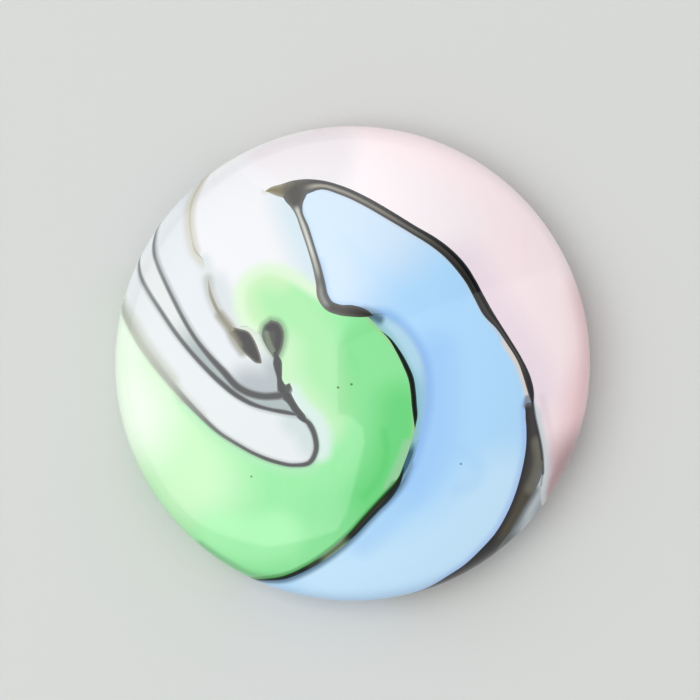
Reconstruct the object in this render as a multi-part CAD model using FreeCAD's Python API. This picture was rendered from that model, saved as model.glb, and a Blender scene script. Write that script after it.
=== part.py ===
import FreeCAD, Part
import os

# Lampwork glass cabochon: a domed disc of soft glass, fused hot from a white core, colour fields
# laid over it, and thin dark trails (pulled rods) sunk into the surface, then raked into a swirl.
# Millimetres. Origin at the centre of the flat back, +Z out of the crown of the dome.

# Driving dimensions.
disc_diameter = 25.0     # across the rim
dome_height = 7.5        # flat back to crown
rim_roundness = 2.0      # radius of the fire-polished rim
overlay_depth = 1.2      # thickness of the colour fields over the core
overlay_turn_in = 0.9    # how far the colour fields turn in under the rim, beyond its flat edge
trail_depth = 0.45       # how deep a trail is sunk into the fields
trail_width = 0.25       # width of a trail where its width factor is 1

disc_radius = disc_diameter / 2
PRISM_BELOW = 1.0        # plan outlines are extruded from this far under the back
PRISM_ABOVE = 1.0        # to this far over the crown
TOUCHING = 0.01          # outlines nearer than this are neighbours

V = FreeCAD.Vector
UP = V(0, 0, 1)
ORIGIN = V(0, 0, 0)

# The swirl in plan. Points are shares of the disc's radius, x to the right and y up, seen from
# above the dome. A trail's third number is its width factor, 0 where it runs out to a point.
CREST = [
    (-0.365, 0.718, 0), (-0.31, 0.722, 2.2), (-0.25, 0.729, 3.6), (-0.20, 0.738, 3.6),
    (-0.13, 0.743, 2.3), (-0.05, 0.721, 2.1), (0.05, 0.675, 2.1), (0.15, 0.617, 2.1),
    (0.25, 0.556, 2.0), (0.34, 0.501, 2.2), (0.39, 0.462, 2.3), (0.455, 0.392, 2.4),
    (0.49, 0.34, 2.2), (0.522, 0.28, 2.2), (0.561, 0.21, 2.2), (0.604, 0.155, 1.4),
    (0.648, 0.09, 1.2), (0.697, 0.01, 1.2), (0.726, -0.06, 1.6), (0.742, -0.12, 1.4),
    (0.752, -0.18, 0),
]
FORK = [
    (-0.228, 0.69, 2.6), (-0.22, 0.63, 1.8), (-0.198, 0.56, 1.7), (-0.172, 0.48, 1.7),
    (-0.148, 0.40, 1.8), (-0.132, 0.33, 2.0), (-0.122, 0.275, 2.3), (-0.098, 0.24, 2.2),
    (-0.055, 0.222, 2.1), (0.0, 0.217, 2.2), (0.05, 0.208, 2.0), (0.095, 0.187, 1.2),
    (0.135, 0.155, 0),
]
GREEN_EDGE = [
    (0.115, 0.137, 0), (0.15, 0.105, 0.4), (0.185, 0.055, 0.7), (0.215, 0.0, 0.9),
    (0.24, -0.06, 1.0), (0.25, -0.12, 1.0), (0.254, -0.17, 1.1), (0.258, -0.21, 1.0),
    (0.257, -0.27, 0),
]
GREEN_FOOT = [
    (0.216, -0.42, 0), (0.187, -0.492, 1.0), (0.147, -0.545, 1.8), (0.10, -0.595, 2.2),
    (0.052, -0.647, 2.1), (0.0, -0.705, 1.9), (-0.08, -0.777, 1.5), (-0.18, -0.846, 1.2),
    (-0.28, -0.893, 1.0), (-0.37, -0.907, 0.8), (-0.47, -0.90, 0.7),
]
LOOP = [
    (-0.985, 0.275, 1.5), (-0.94, 0.178, 1.7), (-0.885, 0.083, 1.7), (-0.827, 0.003, 1.6),
    (-0.764, -0.073, 1.5), (-0.702, -0.143, 1.3), (-0.634, -0.213, 1.1), (-0.555, -0.285, 0.9),
    (-0.478, -0.339, 0.8), (-0.40, -0.384, 0.8), (-0.32, -0.415, 0.85), (-0.24, -0.427, 0.9),
    (-0.178, -0.408, 1.1), (-0.152, -0.36, 1.2), (-0.156, -0.30, 1.25), (-0.178, -0.25, 1.2),
    (-0.215, -0.213, 1.3),
]
LOWER_TWIN = [
    (-0.90, 0.48, 1.0), (-0.897, 0.42, 1.0), (-0.885, 0.36, 1.0), (-0.85, 0.295, 1.1),
    (-0.80, 0.22, 1.2), (-0.745, 0.135, 1.3), (-0.69, 0.055, 1.35), (-0.63, -0.02, 1.4),
    (-0.56, -0.09, 1.4), (-0.49, -0.145, 1.4), (-0.42, -0.178, 1.3), (-0.35, -0.194, 1.0),
    (-0.28, -0.20, 1.0), (-0.215, -0.213, 1.0),
]
UPPER_TWIN = [
    (-0.79, 0.65, 1.0), (-0.828, 0.54, 1.0), (-0.832, 0.47, 1.0), (-0.812, 0.405, 1.0),
    (-0.78, 0.335, 1.1), (-0.74, 0.255, 1.2), (-0.70, 0.18, 1.2), (-0.65, 0.10, 1.25),
    (-0.60, 0.025, 1.5), (-0.54, -0.04, 1.7), (-0.47, -0.10, 1.8), (-0.40, -0.13, 1.8),
    (-0.34, -0.135, 1.7), (-0.281, -0.12, 1.9),
]
HOOK = [
    (-0.318, 0.05, 1.9), (-0.31, -0.01, 1.5), (-0.296, -0.07, 1.7), (-0.281, -0.12, 2.1),
    (-0.256, -0.155, 1.5), (-0.235, -0.188, 1.5), (-0.20, -0.23, 1.3),
]
VEIL_UPPER = [
    (-0.58, 0.85, 1.4), (-0.645, 0.74, 1.4), (-0.675, 0.67, 1.2), (-0.68, 0.60, 1.0),
    (-0.672, 0.53, 0.8), (-0.655, 0.47, 0.7), (-0.62, 0.43, 0),
]
VEIL_LOWER = [
    (-0.60, 0.35, 0), (-0.59, 0.29, 0.7), (-0.565, 0.23, 0.8), (-0.53, 0.175, 0.9),
    (-0.495, 0.135, 1.0),
]

# Dark dots and the broad smoky band, as closed outlines.
EYE = [
    (-0.345, 0.175), (-0.312, 0.163), (-0.29, 0.13), (-0.286, 0.09), (-0.297, 0.045),
    (-0.32, 0.025), (-0.348, 0.05), (-0.37, 0.085), (-0.378, 0.125), (-0.368, 0.16),
]
TEARDROP = [
    (-0.505, 0.15), (-0.46, 0.14), (-0.42, 0.11), (-0.40, 0.07), (-0.386, 0.03),
    (-0.387, 0.0), (-0.41, 0.01), (-0.45, 0.04), (-0.485, 0.085), (-0.505, 0.125),
]
BAND_INNER = [
    (0.735, -0.17), (0.705, -0.168), (0.712, -0.22), (0.72, -0.30), (0.722, -0.38),
    (0.708, -0.46), (0.685, -0.54), (0.65, -0.62), (0.60, -0.705), (0.53, -0.785),
    (0.46, -0.85), (0.40, -0.895), (0.32, -0.943), (0.22, -1.0),
]
BAND_OUTER = [
    (0.735, -0.17), (0.754, -0.215), (0.768, -0.27), (0.785, -0.33), (0.793, -0.40),
    (0.788, -0.47), (0.762, -0.53), (0.715, -0.61), (0.67, -0.69), (0.62, -0.76),
    (0.54, -0.86),
]

# Seams between the colour fields where no trail gives them.
BAND_MIDDLE = [
    (0.752, -0.18), (0.745, -0.24), (0.754, -0.32), (0.757, -0.40), (0.738, -0.50),
    (0.69, -0.60), (0.62, -0.71), (0.53, -0.82), (0.44, -0.92), (0.38, -1.0),
]
GREEN_SIDE = [(0.216, -0.42), (0.242, -0.34), (0.257, -0.27)]
HALO_EDGE = [
    (0.07, 0.205), (0.135, 0.20), (0.205, 0.153), (0.257, 0.09), (0.29, 0.02), (0.307, -0.07),
    (0.308, -0.155), (0.291, -0.25), (0.268, -0.34), (0.235, -0.435), (0.185, -0.515),
    (0.12, -0.585),
]
GREEN_HEAD = [
    (-0.122, 0.275), (-0.18, 0.312), (-0.24, 0.352), (-0.31, 0.383), (-0.38, 0.382),
    (-0.44, 0.345), (-0.465, 0.29), (-0.46, 0.22), (-0.43, 0.155), (-0.385, 0.125),
]
TONGUE_SIDE = [
    (-0.281, -0.12), (-0.296, -0.07), (-0.31, -0.01), (-0.33, 0.05), (-0.385, 0.125),
    (-0.44, 0.155), (-0.50, 0.15), (-0.53, 0.175), (-0.565, 0.23), (-0.59, 0.29),
    (-0.605, 0.36), (-0.63, 0.43), (-0.655, 0.48), (-0.672, 0.54), (-0.68, 0.60),
    (-0.675, 0.67), (-0.645, 0.74), (-0.58, 0.85),
]
CROWN_EDGE = [(-0.365, 0.718), (-0.42, 0.755), (-0.50, 0.82), (-0.58, 0.92)]
WEDGE_EDGE = [(0.77, -0.44), (0.789, -0.50), (0.786, -0.56), (0.80, -0.62), (0.84, -0.70)]


def plan(point):
    """A point of the swirl, in millimetres."""
    return V(point[0] * disc_radius, point[1] * disc_radius, -PRISM_BELOW)


def curve(points, closed=False):
    """A smooth edge through points of the swirl."""
    line = Part.BSplineCurve()
    line.interpolate(Points=[plan(p) for p in points], PeriodicFlag=closed)
    return line.toShape()


def outline(*stretches):
    """The face inside curves laid end to end. A stretch of two points is straight."""
    edges = []
    for points in stretches:
        straight = len(points) == 2
        edges.append(Part.makeLine(plan(points[0]), plan(points[1])) if straight else curve(points))
    return Part.Face(Part.Wire(edges))


def trail(points):
    """A trail's face: its centre points set out to both sides by half the local width."""
    centre = curve(points).Curve
    left, right = [], []
    for point in points:
        along = centre.tangent(centre.parameter(plan(point)))[0]
        reach = UP.cross(along) * (point[2] * trail_width / 2)
        left.append(plan(point) + reach)
        right.append(plan(point) - reach)
    sides = []
    for side in (left, right):
        line = Part.BSplineCurve()
        line.interpolate(side)
        sides.append(line.toShape())
    for end in (0, -1):
        if points[end][2] > 0:
            sides.append(Part.makeLine(left[end], right[end]))
    return Part.Face(Part.Wire(Part.__sortEdges__(sides)))


def dome():
    """The centre and radius of the dome's sphere, which meets the rim's circle without a corner,
    the centre of the rim's section, and the direction in which the two arcs meet."""
    rim_centre = V(disc_radius - rim_roundness, 0, rim_roundness)
    drop = rim_roundness - dome_height
    radius = (rim_roundness**2 - drop**2 - rim_centre.x**2) / (2 * (drop + rim_roundness))
    centre = V(0, 0, dome_height - radius)
    return centre, radius, rim_centre, (rim_centre - centre).normalize()


def turned(edges):
    """The solid turned from half a section, whose edges lie in the XZ plane."""
    return Part.Face(Part.Wire(edges)).revolve(ORIGIN, UP, 360)


def arc_about(centre, radius, start, end):
    """An arc about a centre, between two directions."""
    middle = (start + end).normalize()
    points = [centre + direction * radius for direction in (start, middle, end)]
    return Part.Arc(*points).toShape()


def glass_body(inset):
    """The whole disc with its surface taken in by inset: dome, round rim and flat back."""
    centre, radius, rim_centre, shoulder = dome()
    out, down = V(1, 0, 0), V(0, 0, -1)
    rim = rim_roundness - inset
    edges = [
        arc_about(centre, radius - inset, UP, shoulder),
        arc_about(rim_centre, rim, shoulder, out),
    ]
    equator = rim_centre + out * rim
    back_edge = V(rim_centre.x - overlay_turn_in * inset / overlay_depth, 0, 0)
    if inset:
        edges.append(Part.makeLine(equator, back_edge))
    else:
        edges.append(arc_about(rim_centre, rim, out, down))
    crown = V(0, 0, dome_height - inset)
    edges += [Part.makeLine(back_edge, ORIGIN), Part.makeLine(ORIGIN, crown)]
    return turned(edges)


def core_body():
    """The white gather. It was marvered flat on top and at a slant to the rim, so it is turned
    from straight runs between points that lie overlay_depth under the surface."""
    centre, radius, rim_centre, shoulder = dome()
    top_edge = centre + (UP + shoulder).normalize() * (radius - overlay_depth)
    rim = rim_roundness - overlay_depth
    corners = [
        ORIGIN, V(0, 0, top_edge.z), top_edge, rim_centre + shoulder * rim,
        rim_centre + V(rim, 0, 0), V(rim_centre.x - overlay_turn_in, 0, 0),
    ]
    return turned([Part.makeLine(a, b) for a, b in zip(corners, corners[1:] + corners[:1])])


def in_order(faces, over=None):
    """Plan faces that give way to the ones before them. With over, they are cut out of that face,
    and its rest comes last."""
    kept = []
    for face in faces:
        if over:
            part = face.common(over)
            over = over.cut(face)
        else:
            part = face.cut(kept) if kept else face
        kept.append(max(part.Faces, key=lambda f: f.Area))
    if over:
        kept.append(max(over.Faces, key=lambda f: f.Area))
    return kept


def stand_up(face, layer):
    """The piece of a layer of glass that lies over a plan face."""
    height = PRISM_BELOW + dome_height + PRISM_ABOVE
    return face.extrude(UP * height).common(layer)


def trail_faces():
    """The dark trails and dots in plan, in the order in which they lie over each other."""
    band = outline(BAND_INNER, [BAND_INNER[-1], (0.45, -1.1)], [(0.45, -1.1), BAND_OUTER[-1]],
                   BAND_OUTER[::-1])
    faces = {
        "crest_trail": trail(CREST),
        "smoky_band": band,
        "fork_trail": trail(FORK),
        "green_edge_trail": trail(GREEN_EDGE),
        "green_foot_trail": trail(GREEN_FOOT),
        "dark_eye": Part.Face(Part.Wire([curve(EYE, closed=True)])),
        "hook_trail": trail(HOOK),
        "loop_trail": trail(LOOP),
        "lower_twin_trail": trail(LOWER_TWIN),
        "upper_twin_trail": trail(UPPER_TWIN),
        "dark_teardrop": Part.Face(Part.Wire([curve(TEARDROP, closed=True)])),
        "upper_veil_trail": trail(VEIL_UPPER),
        "lower_veil_trail": trail(VEIL_LOWER),
    }
    return dict(zip(faces, in_order(list(faces.values()))))


def centre_of(trail_points):
    """A trail's centre line as plain points."""
    return [point[:2] for point in trail_points]


def field_faces():
    """The colour fields in plan. Their seams run under the trails, and each field gives way to
    those before it, so an outline may reach on under its neighbours and past the rim."""
    loop, twin, upper = centre_of(LOOP), centre_of(LOWER_TWIN), centre_of(UPPER_TWIN)
    foot, edge = centre_of(GREEN_FOOT), centre_of(GREEN_EDGE)
    crest, fork = centre_of(CREST), centre_of(FORK)
    outside_left = (-1.2, 0.4)
    tongue = outline(loop, twin[::-1], [twin[0], outside_left], [outside_left, loop[0]])
    sliver = outline(twin, [twin[-1], upper[-1]], upper[::-1], [upper[0], twin[0]])
    inner = outline(upper, TONGUE_SIDE, [TONGUE_SIDE[-1], upper[0]])
    green_edge = foot[::-1] + GREEN_SIDE[1:-1] + edge[::-1] + [fork[-2], fork[-4], fork[-6]]
    green = outline(
        green_edge, [green_edge[-1], GREEN_HEAD[0]], GREEN_HEAD,
        [GREEN_HEAD[-1], (-0.47, 0.10)], [(-0.47, 0.10), (-1.1, 0.36)],
        [(-1.1, 0.36), (-1.1, -1.1)], [(-1.1, -1.1), (-0.5, -1.1)], [(-0.5, -1.1), green_edge[0]])
    blue_edge = crest[3:-1] + BAND_MIDDLE
    blue = outline(
        blue_edge, [blue_edge[-1], (0.2, -1.2)], [(0.2, -1.2), (-0.47, -1.0)],
        [(-0.47, -1.0), (-0.2, -0.5)], [(-0.2, -0.5), fork[6]], fork[6::-1], [fork[0], crest[3]])
    halo = outline(
        HALO_EDGE, [HALO_EDGE[-1], (0.0, -0.4)], [(0.0, -0.4), (0.0, 0.1)], [(0.0, 0.1), HALO_EDGE[0]])
    wedge = outline(
        WEDGE_EDGE, [WEDGE_EDGE[-1], (0.4, -1.2)], [(0.4, -1.2), (0.4, -0.8)],
        [(0.4, -0.8), (0.68, -0.4)], [(0.68, -0.4), WEDGE_EDGE[0]])
    crown = outline(
        CROWN_EDGE, [CROWN_EDGE[-1], (-0.8, 0.8)], [(-0.8, 0.8), (-0.6, 0.0)],
        [(-0.6, 0.0), (-0.1, -0.1)], [(-0.1, -0.1), (0.0, 0.6)], [(0.0, 0.6), (-0.2, 0.738)],
        [(-0.2, 0.738), CROWN_EDGE[0]])
    whole = Part.Face(Part.Wire([Part.makeCircle(disc_radius * 1.05, plan((0, 0)))]))
    names = ["outer_white_tongue", "white_sliver", "inner_white_tongue", "green_field",
             "aqua_halo", "blue_field", "smoky_wedge", "white_crown", "pink_field"]
    faces = in_order([tongue, sliver, inner, green, halo, blue, wedge, crown], over=whole)
    return dict(zip(names, faces))


def main():
    whole = glass_body(0)
    core = core_body()
    overlay = whole.cut(core)
    skin = whole.cut(glass_body(trail_depth))
    plan_trails = trail_faces()
    trails = {name: stand_up(face, skin) for name, face in plan_trails.items()}
    pieces = {"core_gather": core}
    for name, face in field_faces().items():
        near = [t for t, over in plan_trails.items() if over.distToShape(face)[0] < TOUCHING]
        pieces[name] = stand_up(face, overlay).cut([trails[t] for t in near])
    pieces.update(trails)
    os.makedirs("parts", exist_ok=True)
    for name, shape in pieces.items():
        shape.exportStep(f"parts/{name}.step")
        print(f"{name:20s} {len(shape.Solids)} solid(s) {shape.Volume:9.3f} mm3 valid {shape.isValid()}")
    made = sum(shape.Volume for shape in pieces.values())
    print(f"sum {made:.3f} of {whole.Volume:.3f} mm3")


main()
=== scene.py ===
import math

import bmesh
import bpy
import numpy as np
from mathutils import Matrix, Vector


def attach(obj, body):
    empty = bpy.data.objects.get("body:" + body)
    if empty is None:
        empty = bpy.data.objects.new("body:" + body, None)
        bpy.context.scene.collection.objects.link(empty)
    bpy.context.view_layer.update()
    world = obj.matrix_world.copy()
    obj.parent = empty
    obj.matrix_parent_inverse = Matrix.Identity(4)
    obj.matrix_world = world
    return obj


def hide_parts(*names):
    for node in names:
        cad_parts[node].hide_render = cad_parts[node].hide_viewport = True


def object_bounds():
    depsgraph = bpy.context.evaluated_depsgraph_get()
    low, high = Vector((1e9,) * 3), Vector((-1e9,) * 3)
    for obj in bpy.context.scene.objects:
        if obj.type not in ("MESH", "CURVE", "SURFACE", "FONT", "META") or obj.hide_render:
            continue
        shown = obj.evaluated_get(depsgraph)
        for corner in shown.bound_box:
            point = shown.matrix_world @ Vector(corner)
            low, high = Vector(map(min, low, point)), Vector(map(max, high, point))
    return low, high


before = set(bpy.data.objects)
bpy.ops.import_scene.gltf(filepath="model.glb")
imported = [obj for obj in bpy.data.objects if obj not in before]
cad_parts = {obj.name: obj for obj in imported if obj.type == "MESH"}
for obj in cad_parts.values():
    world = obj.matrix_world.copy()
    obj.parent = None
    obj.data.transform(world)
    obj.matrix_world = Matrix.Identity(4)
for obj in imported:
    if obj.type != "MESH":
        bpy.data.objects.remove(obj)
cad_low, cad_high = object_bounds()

# --- The disc and its core ---------------------------------------------------------------
# A gather of opal white glass, dabbed flat on a marver, carries every other colour. It is the
# thick middle of the disc and shows as the flat back that is glued into a setting.

MM = 0.001
TRAIL_RISE = 0.004 * MM      # a melted-in trail stands this proud of the colours beside it
LAP = 0.003 * MM             # a colour that runs on under its neighbour lies this much lower
DISC_RADIUS = min(cad_high.x - cad_low.x, cad_high.y - cad_low.y) / 2
RIM_ROUND = 2.0 * MM
SKIN_RADIUS = DISC_RADIUS - TRAIL_RISE
SKIN_HEIGHT = cad_high.z - TRAIL_RISE
FLAT_EDGE = SKIN_RADIUS - RIM_ROUND
DOME_RADIUS = (((SKIN_HEIGHT - RIM_ROUND) ** 2 + FLAT_EDGE**2 - RIM_ROUND**2)
               / (2 * (SKIN_HEIGHT - 2 * RIM_ROUND)))
SHOULDER = math.asin(FLAT_EDGE / (DOME_RADIUS - RIM_ROUND))
SHOULDER_REACH = DOME_RADIUS * SHOULDER
EQUATOR_REACH = SHOULDER_REACH + RIM_ROUND * (math.pi / 2 - SHOULDER)
BACK_REACH = EQUATOR_REACH + RIM_ROUND * math.pi / 2
BACK_LAP = 0.8 * MM          # how far the colours turn in over the flat back
FINE_STEPS = 40              # steps per given point while a line is smoothed
LINE_POINTS = 400            # points along a drawn line
POINTS_AT_ONCE = 4000        # how many distances are worked out together
WELD_GAP = 0.0005 * MM       # points closer than this become one
SHORTEST_EDGE = 0.0001 * MM  # edges shorter than this are dissolved
SHARP_EDGE = math.radians(35)
GLASS_IOR = 1.52
GLASS_WAVER = 0.25           # how strongly the slow waver of the polish shows


def lay(shares):
    """Turns points drawn on the plan, in shares of the disc's radius, into points on the unrolled
    skin: the same direction from the centre, at the length of the section's curve out to there.
    A share over 1 carries on past the equator, round to the back."""
    shares = np.asarray(shares, float)[..., :2]
    share = np.maximum(np.hypot(shares[..., 0], shares[..., 1]), 1e-9)
    plan = np.minimum(share, 1.0) * SKIN_RADIUS
    on_dome = np.arcsin(np.minimum(plan / DOME_RADIUS, 1.0)) * DOME_RADIUS
    turn = np.arcsin(np.clip((plan - FLAT_EDGE) / RIM_ROUND, 0.0, 1.0))
    on_rim = SHOULDER_REACH + (turn - SHOULDER) * RIM_ROUND + np.maximum(share - 1, 0) * SKIN_RADIUS
    reach = np.where(on_dome < SHOULDER_REACH, on_dome, on_rim)
    return shares / share[..., None] * reach[..., None]


def skin(flat, depth=0.0):
    """Puts points of the unrolled skin in place. Their distance from the centre is an arc length
    along the section: over the dome's sphere, round the rim's circle, then flat across the back.
    Depth is measured inwards, square to the surface."""
    reach = np.maximum(np.hypot(flat[..., 0], flat[..., 1]), 1e-12)
    on_back = np.maximum(reach - BACK_REACH, 0.0)
    tilt = np.where(reach < SHOULDER_REACH, reach / DOME_RADIUS,
                    SHOULDER + (np.minimum(reach, BACK_REACH) - SHOULDER_REACH) / RIM_ROUND)
    dome = reach < SHOULDER_REACH
    centre_out = np.where(dome, 0.0, FLAT_EDGE)
    centre_up = np.where(dome, SKIN_HEIGHT - DOME_RADIUS, RIM_ROUND)
    bend = np.where(dome, DOME_RADIUS, RIM_ROUND) - depth
    out = centre_out + bend * np.sin(tilt) - on_back
    up = centre_up + bend * np.cos(tilt)
    direction = flat / reach[..., None]
    return np.dstack([direction[..., 0] * out, direction[..., 1] * out, up])


def smooth(points, count):
    """A line through given points: each stretch is a cubic that leaves a point in the direction
    from its neighbour before to its neighbour after. Returns count points spaced evenly along it.
    Further columns, such as widths, are carried along in the same way."""
    points = np.asarray(points, float)
    gaps = np.hypot(*np.diff(points[:, :2], axis=0).T)
    at = np.concatenate([[0], np.cumsum(gaps)])
    slope = np.gradient(points, at, axis=0)
    fine = np.linspace(0, at[-1], FINE_STEPS * len(points))
    before = np.clip(np.searchsorted(at, fine, "right") - 1, 0, len(points) - 2)
    gap = (at[before + 1] - at[before])[:, None]
    t = ((fine - at[before])[:, None]) / gap
    line = ((2 * t**3 - 3 * t**2 + 1) * points[before] + (t**3 - 2 * t**2 + t) * gap * slope[before]
            + (3 * t**2 - 2 * t**3) * points[before + 1] + (t**3 - t**2) * gap * slope[before + 1])
    along = np.concatenate([[0], np.cumsum(np.hypot(*np.diff(line[:, :2], axis=0).T))])
    even = np.linspace(0, along[-1], count)
    return np.column_stack([np.interp(even, along, column) for column in line.T])


def drawn(points):
    """A smooth line on the unrolled skin, through points drawn on the plan. A third number is a
    width, in millimetres."""
    points = np.asarray(points, float)
    laid = np.column_stack([lay(points), points[:, 2:] * MM])
    return smooth(laid, LINE_POINTS)


def joined(*lines, count=LINE_POINTS):
    """Lines laid end to end and spaced evenly again, keeping their corners."""
    line = np.concatenate([part[:, :2] for part in lines])
    along = np.concatenate([[0], np.cumsum(np.hypot(*np.diff(line, axis=0).T))])
    even = np.linspace(0, along[-1], count)
    return np.column_stack([np.interp(even, along, column) for column in line.T])


def stretch(line, start, end):
    """The part of a line between two plan points that lie on it, in that order."""
    ends = lay([start, end])
    first, last = [int(np.argmin(np.hypot(*(line[:, :2] - spot).T))) for spot in ends]
    part = line[first:last + 1] if first <= last else line[last:first + 1][::-1]
    return np.concatenate([ends[:1], part[1:-1, :2], ends[1:]])


def share_of(line, start, end):
    """The part of a line between two shares of its length."""
    return line[round(start * len(line)):round(end * len(line))]


def distance_to(flat, line):
    """How far each point of a grid on the unrolled skin is from a line, in millimetres."""
    rows, line = flat.reshape(-1, 2), line[:, :2]
    parts = np.array_split(rows, len(rows) // POINTS_AT_ONCE + 1)
    nearest = [((line**2).sum(axis=1) - 2 * part @ line.T).min(axis=1) for part in parts]
    apart = np.concatenate(nearest) + (rows**2).sum(axis=1)
    return np.sqrt(np.maximum(apart, 0.0)) / MM


def fused_piece(name, top, under, marks, walled=True):
    """A closed piece of glass from two grids of the same size, its skin and its underside, with a
    wall all round between their rims unless these meet. Marks are values for each point of the
    grid, kept with the mesh for the material to read."""
    rows, columns = top.shape[:2]
    grid = np.arange(rows * columns).reshape(rows, columns)
    upper = np.dstack([grid[:-1, :-1], grid[1:, :-1], grid[1:, 1:], grid[:-1, 1:]]).reshape(-1, 4)
    lower = upper[:, ::-1] + rows * columns
    edge = np.concatenate([grid[0, :-1], grid[:-1, -1], grid[-1, :0:-1], grid[:0:-1, 0]])
    onward = np.roll(edge, -1)
    wall = np.column_stack([edge, onward, onward + rows * columns, edge + rows * columns])
    faces = np.concatenate([upper, lower, wall] if walled else [upper, lower])
    points = np.concatenate([top.reshape(-1, 3), under.reshape(-1, 3)])
    corner = points[faces]
    volume = np.einsum("ij,ij->", corner[:, 0], np.cross(corner[:, 1], corner[:, 2]))
    volume += np.einsum("ij,ij->", corner[:, 0], np.cross(corner[:, 2], corner[:, 3]))
    if volume < 0:
        faces = faces[:, ::-1]
    mesh = bpy.data.meshes.new(name)
    mesh.from_pydata(points.tolist(), [], faces.tolist())
    for mark, values in marks.items():
        both = np.tile(np.asarray(values, np.float32).reshape(-1), 2)
        mesh.attributes.new(mark, "FLOAT", "POINT").data.foreach_set("value", both)
    weld = bmesh.new()
    weld.from_mesh(mesh)
    bmesh.ops.remove_doubles(weld, verts=weld.verts, dist=WELD_GAP)
    bmesh.ops.dissolve_degenerate(weld, edges=weld.edges, dist=SHORTEST_EDGE)
    weld.to_mesh(mesh)
    weld.free()
    mesh.polygons.foreach_set("use_smooth", np.ones(len(mesh.polygons), bool))
    mesh.set_sharp_from_angle(angle=SHARP_EDGE)
    piece = bpy.data.objects.new(name, mesh)
    bpy.context.scene.collection.objects.link(piece)
    return piece


def seal(piece, node, material):
    """Gives a piece its material and stands it in for its CAD node."""
    piece.data.materials.append(material)
    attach(piece, "root")
    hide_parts(node)


def tone(red, green, blue):
    """A colour as seen on a swatch, 0 to 255, in the shader's linear light."""
    return tuple((value / 255) ** 2.2 for value in (red, green, blue)) + (1.0,)


def new_group(name, inputs, outputs):
    """An empty node group with named sockets. Returns it, what it is given and what it makes."""
    group = bpy.data.node_groups.new(name, "ShaderNodeTree")
    for label, kind in inputs.items():
        group.interface.new_socket(name=label, in_out="INPUT", socket_type="NodeSocket" + kind)
    for label, kind in outputs.items():
        group.interface.new_socket(name=label, in_out="OUTPUT", socket_type="NodeSocket" + kind)
    given = group.nodes.new("NodeGroupInput").outputs
    made = group.nodes.new("NodeGroupOutput").inputs
    return group, given, made


def new_node(tree, kind, given=(), **choices):
    """A shader node with its own choices made. Each socket that is given, by its name or its
    place, gets a plain value or is linked to another node's output. Returns the outputs."""
    node = tree.nodes.new("ShaderNode" + kind)
    for choice, value in choices.items():
        setattr(node, choice, value)
    for socket, value in dict(given).items():
        if isinstance(value, bpy.types.NodeSocket):
            tree.links.new(value, node.inputs[socket])
        else:
            node.inputs[socket].default_value = value
    return node.outputs


def times(tree, one, other):
    """Two values multiplied."""
    return new_node(tree, "Math", {0: one, 1: other}, operation="MULTIPLY")["Value"]


def mixed(tree, share, under, over):
    """One colour laid over another: the upper one's share is from 0 to 1."""
    given = {"Factor": share, "A": under, "B": over}
    return new_node(tree, "Mix", given, data_type="RGBA")["Result"]


def faded(tree, given):
    """A value carried from one range to another, with a smooth start and end."""
    return new_node(tree, "MapRange", given, interpolation_type="SMOOTHSTEP")["Result"]


def fire_polish_group():
    """Glass that has only ever touched a flame: gloss with a slow waver and a breath of haze."""
    group, given, made = new_group("Fire polish", {"Waver": "Float", "Haze": "Float"},
                                   {"Roughness": "Float", "Normal": "Vector"})
    place = new_node(group, "TexCoord")["Object"]
    slow = new_node(group, "TexNoise", {"Vector": place, "Scale": 260.0, "Detail": 1.5})
    bump = new_node(group, "Bump", {
        "Height": slow["Fac"], "Strength": given["Waver"], "Distance": 0.02 * MM})
    breath = new_node(group, "TexNoise", {"Vector": place, "Scale": 900.0, "Detail": 3.0})
    spread = new_node(group, "MapRange", {
        "Value": breath["Fac"], "From Min": 0.35, "From Max": 0.75,
        "To Min": times(group, given["Haze"], 0.55), "To Max": given["Haze"]})
    group.links.new(spread["Result"], made["Roughness"])
    group.links.new(bump["Normal"], made["Normal"])
    return group


def streak_group():
    """Rod glass is never quite even: wisps of a paler and a deeper cast, drawn out as it is
    pulled. The two casts are mixed in by a stretched and folded noise."""
    group, given, made = new_group(
        "Rod streaks", {"Colour": "Color", "Pale": "Color", "Deep": "Color", "Amount": "Float"},
        {"Colour": "Color"})
    pulled = new_node(group, "Mapping", {
        "Vector": new_node(group, "TexCoord")["Object"], "Scale": (420.0, 130.0, 200.0),
        "Rotation": (0.0, 0.0, math.radians(-18))})
    wisps = new_node(group, "TexNoise", {
        "Vector": pulled["Vector"], "Scale": 1.0, "Detail": 4.0, "Distortion": 0.8})
    colour = given["Colour"]
    for cast, low, high in (("Pale", 0.55, 0.8), ("Deep", 0.45, 0.2)):
        mask = faded(group, {"Value": wisps["Fac"], "From Min": low, "From Max": high})
        colour = mixed(group, times(group, mask, given["Amount"]), colour, given[cast])
    group.links.new(colour, made["Colour"])
    return group


def wash_group():
    """One colour melting into another: full at Near millimetres from where it was laid, gone at
    Far, with a smooth fade between."""
    group, given, made = new_group(
        "Melted wash",
        {"Colour": "Color", "Wash": "Color", "Distance": "Float", "Near": "Float", "Far": "Float",
         "Strength": "Float"},
        {"Colour": "Color"})
    share = faded(group, {
        "Value": given["Distance"], "From Min": given["Near"], "From Max": given["Far"],
        "To Min": given["Strength"], "To Max": 0.0})
    group.links.new(mixed(group, share, given["Colour"], given["Wash"]), made["Colour"])
    return group


FIRE_POLISH = fire_polish_group()
ROD_STREAKS = streak_group()
MELTED_WASH = wash_group()


def new_material(name):
    """A new material, its node tree and its shader."""
    material = bpy.data.materials.new(name)
    material.use_nodes = True
    return material, material.node_tree, material.node_tree.nodes["Principled BSDF"]


def read_mark(tree, name):
    """The values of a mark that was kept with the mesh."""
    return new_node(tree, "Attribute", attribute_name=name)["Fac"]


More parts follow.
